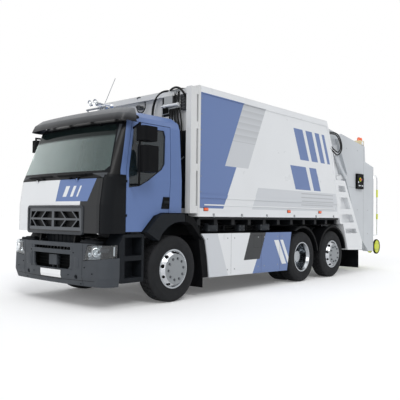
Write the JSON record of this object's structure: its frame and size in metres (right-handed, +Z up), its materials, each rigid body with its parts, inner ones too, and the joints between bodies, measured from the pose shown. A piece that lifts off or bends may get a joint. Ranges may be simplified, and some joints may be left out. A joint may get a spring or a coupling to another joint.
{
  "type": "garbage truck",
  "caption": "Battery-electric rear-loading garbage truck with tilting cab, hinged tailgate, packing plates, bin lifter and steered tag axle.",
  "frame": {"origin": "on the ground under the middle of the overall length and width", "axes": "+X forward, +Y to the left, +Z up"},
  "size_m": [9.44, 2.94, 3.53],
  "materials": {
    "blue_paint": "gloss clear coat",
    "white_paint": "gloss",
    "grey_paint": "satin",
    "chassis_paint": "satin dark grey",
    "dark_plastic": "grained dark grey",
    "black_plastic": "grained black",
    "black_gloss": "gloss black",
    "smoked_plastic": "smoked gloss",
    "glass": "tinted",
    "lamp": "clear lens",
    "red_lamp": "red lens",
    "tyre": "matte rubber",
    "rubber": "matte",
    "rim": "polished",
    "steel": "bright",
    "rod_chrome": "mirror",
    "lime_paint": "gloss",
    "fabric": "woven",
    "interior": "soft grained",
    "battery": "satin"
  },
  "bodies": {
    "chassis": {"chassis_frame": "chassis_paint", "axles": "chassis_paint", "suspension": "chassis_paint", "battery_packs": "battery", "drive_units": "chassis_paint", "front_bumper": "dark_plastic", "headlamps": "lamp", "cab_steps": "black_plastic", "mudguards": "black_plastic", "side_skirts": "white_paint", "body_sides": "white_paint", "body_roof": "white_paint", "body_floor": "chassis_paint", "body_front_frame": "grey_paint", "body_hydraulics": "steel", "body_rear_frame": "white_paint"},
    "ejector": {"ejector_plate": "grey_paint"},
    "cab": {"cab_shell": "blue_paint", "cab_roof": "blue_paint", "windscreen": "glass", "corner_panels": "black_gloss", "sun_visor": "smoked_plastic", "arch_flares": "dark_plastic", "dashboard": "interior", "seats": "fabric"},
    "flap": {"front_flap": "white_paint", "front_grille": "black_gloss"},
    "tailgate": {"tailgate_sides": "grey_paint", "tailgate_cover": "grey_paint", "hopper_trough": "grey_paint", "safety_rails": "steel", "rear_lamps": "red_lamp"},
    "carrier": {"carrier_plate": "grey_paint"},
    "packer": {"packer_plate": "grey_paint"},
    "lifter": {"bin_lifter": "lime_paint"},
    "lift_barrels": {"lift_cylinder_barrels": "chassis_paint"},
    "lift_rods": {"lift_cylinder_rods": "rod_chrome"},
    "door_left": {"door_left": "blue_paint", "door_glass_left": "glass", "mirrors_left": "black_plastic"},
    "front_knuckle_left": {"front_knuckle_left": "chassis_paint"},
    "tag_knuckle_left": {"tag_knuckle_left": "chassis_paint"},
    "front_wheel_left": {"front_tyre_left": "tyre", "front_rim_left": "rim"},
    "tag_wheel_left": {"tag_tyre_left": "tyre", "tag_rim_left": "rim"},
    "drive_wheels_left": {"drive_tyres_left": "tyre", "drive_rims_left": "rim"},
    "door_right": {"door_right": "blue_paint", "door_glass_right": "glass", "mirrors_right": "black_plastic"},
    "front_knuckle_right": {"front_knuckle_right": "chassis_paint"},
    "tag_knuckle_right": {"tag_knuckle_right": "chassis_paint"},
    "front_wheel_right": {"front_tyre_right": "tyre", "front_rim_right": "rim"},
    "tag_wheel_right": {"tag_tyre_right": "tyre", "tag_rim_right": "rim"},
    "drive_wheels_right": {"drive_tyres_right": "tyre", "drive_rims_right": "rim"}
  },
  "joints": [
    {"name": "front_steer_left", "type": "hinge", "parent": "chassis", "child": "front_knuckle_left", "pos_m": [3.28, 0.93, 0.522], "axis": [0, 0, 1], "range_deg": [-35, 35]},
    {"name": "tag_steer_left", "type": "hinge", "parent": "chassis", "child": "tag_knuckle_left", "pos_m": [-1.94, 0.93, 0.522], "axis": [0, 0, 1], "range_deg": [-12.26, 12.26]},
    {"name": "front_wheel_left_spin", "type": "hinge", "parent": "front_knuckle_left", "child": "front_wheel_left", "pos_m": [3.28, 1.07, 0.522], "axis": [0, 1, 0], "continuous": true},
    {"name": "tag_wheel_left_spin", "type": "hinge", "parent": "tag_knuckle_left", "child": "tag_wheel_left", "pos_m": [-1.94, 1.07, 0.522], "axis": [0, 1, 0], "continuous": true},
    {"name": "drive_wheels_left_spin", "type": "hinge", "parent": "chassis", "child": "drive_wheels_left", "pos_m": [-0.62, 0.9, 0.522], "axis": [0, 1, 0], "continuous": true},
    {"name": "door_left_hinge", "type": "hinge", "parent": "cab", "child": "door_left", "pos_m": [4.22, 1.15, 1.4], "axis": [0, 0, -1], "range_deg": [0, 70]},
    {"name": "front_steer_right", "type": "hinge", "parent": "chassis", "child": "front_knuckle_right", "pos_m": [3.28, -0.93, 0.522], "axis": [0, 0, 1], "range_deg": [-35, 35]},
    {"name": "tag_steer_right", "type": "hinge", "parent": "chassis", "child": "tag_knuckle_right", "pos_m": [-1.94, -0.93, 0.522], "axis": [0, 0, 1], "range_deg": [-12.26, 12.26]},
    {"name": "front_wheel_right_spin", "type": "hinge", "parent": "front_knuckle_right", "child": "front_wheel_right", "pos_m": [3.28, -1.07, 0.522], "axis": [0, 1, 0], "continuous": true},
    {"name": "tag_wheel_right_spin", "type": "hinge", "parent": "tag_knuckle_right", "child": "tag_wheel_right", "pos_m": [-1.94, -1.07, 0.522], "axis": [0, 1, 0], "continuous": true},
    {"name": "drive_wheels_right_spin", "type": "hinge", "parent": "chassis", "child": "drive_wheels_right", "pos_m": [-0.62, -0.9, 0.522], "axis": [0, 1, 0], "continuous": true},
    {"name": "door_right_hinge", "type": "hinge", "parent": "cab", "child": "door_right", "pos_m": [4.22, -1.15, 1.4], "axis": [0, 0, 1], "range_deg": [0, 70]},
    {"name": "cab_tilt", "type": "hinge", "parent": "chassis", "child": "cab", "pos_m": [4.58, 0, 0.93], "axis": [0, 1, 0], "range_deg": [0, 50]},
    {"name": "front_flap_hinge", "type": "hinge", "parent": "cab", "child": "flap", "pos_m": [4.636, 0, 1.878], "axis": [0, -1, 0], "range_deg": [0, 75]},
    {"name": "tailgate_hinge", "type": "hinge", "parent": "chassis", "child": "tailgate", "pos_m": [-1.8, 0, 3.48], "axis": [0, 1, 0], "range_deg": [0, 88]},
    {"name": "carrier_slide", "type": "slide", "parent": "tailgate", "child": "carrier", "axis": [0.5438, 0, 0.8392], "range_m": [0, 0.74]},
    {"name": "packer_hinge", "type": "hinge", "parent": "carrier", "child": "packer", "pos_m": [-3.22, 0, 1.72], "axis": [0, 1, 0], "range_deg": [0, 78]},
    {"name": "lifter_hinge", "type": "hinge", "parent": "tailgate", "child": "lifter", "pos_m": [-4.4, 0, 1.25], "axis": [0, 1, 0], "range_deg": [0, 120]},
    {"name": "lift_barrel_hinge", "type": "hinge", "parent": "chassis", "child": "lift_barrels", "pos_m": [-2.61, 0, 2.32], "axis": [0, -1, 0], "range_deg": [-0.01, 38.81]},
    {"name": "lift_rod_slide", "type": "slide", "parent": "lift_barrels", "child": "lift_rods", "axis": [0.7366, 0, 0.6763], "range_m": [-0.0001, 0.52452]},
    {"name": "ejector_slide", "type": "slide", "parent": "chassis", "child": "ejector", "axis": [-1, 0, 0], "range_m": [0, 3.4]}
  ],
  "couplings": [
    {"joint": "front_steer_right", "follows": "front_steer_left", "ratio": 1},
    {"joint": "tag_steer_left", "follows": "front_steer_left", "ratio": -0.35},
    {"joint": "tag_steer_right", "follows": "front_steer_left", "ratio": -0.35},
    {"joint": "lift_barrel_hinge", "follows": "tailgate_hinge", "ratio": 0.44041},
    {"joint": "lift_rod_slide", "follows": "tailgate_hinge", "m_per_rad": 0.34118}
  ]
}
